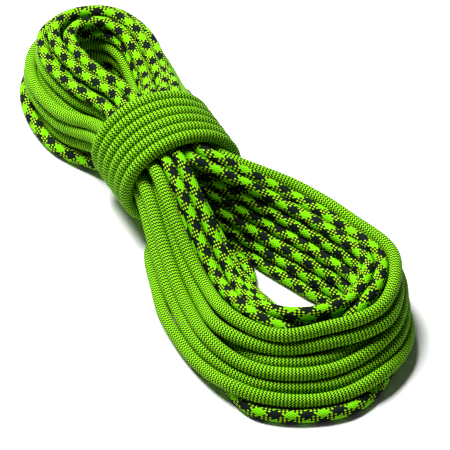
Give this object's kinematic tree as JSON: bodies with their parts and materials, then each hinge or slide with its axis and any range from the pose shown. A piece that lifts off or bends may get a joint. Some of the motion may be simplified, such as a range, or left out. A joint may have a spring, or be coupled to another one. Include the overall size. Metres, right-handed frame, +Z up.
{
  "type": "dynamic climbing rope",
  "caption": "Dynamic kernmantle climbing rope in a lime and black bi-pattern sheath, put up as an elongated coil bound by wraps at its waist, with both sleeved ends at one side.",
  "frame": {"origin": "middle of the whole coil's bounding box, on the surface that it lies on", "axes": "+Z up, +Y along the coil from its large eye to its small eye, +X towards the side where the rope's ends lie"},
  "size_m": [0.1966, 0.4794, 0.088],
  "materials": {
    "checker_sheath": "braided polyamide sheath, lime and black yarns in a checker of diamonds",
    "zigzag_sheath": "braided polyamide sheath, lime and black yarns in fine zigzag lines",
    "core": "twisted white polyamide yarn",
    "end_sleeve": "black heat-shrink sleeve, satin",
    "fused_tip": "melted and hardened yarn, dark and glossy"
  },
  "bodies": {
    "root": {"checker_half_coil": "checker_sheath", "zigzag_half_coil": "zigzag_sheath", "waist_wraps": "zigzag_sheath", "checker_tail_sheath": "checker_sheath", "checker_core_1": "core", "checker_core_2": "core", "checker_core_3": "core", "checker_core_4": "core", "checker_core_5": "core", "checker_core_6": "core", "checker_core_7": "core", "checker_end_sleeve": "end_sleeve", "checker_fused_tip": "fused_tip", "zigzag_tail_sheath": "zigzag_sheath", "zigzag_core_1": "core", "zigzag_core_2": "core", "zigzag_core_3": "core", "zigzag_core_4": "core", "zigzag_core_5": "core", "zigzag_core_6": "core", "zigzag_core_7": "core", "zigzag_end_sleeve": "end_sleeve", "zigzag_fused_tip": "fused_tip"}
  },
  "joints": []
}
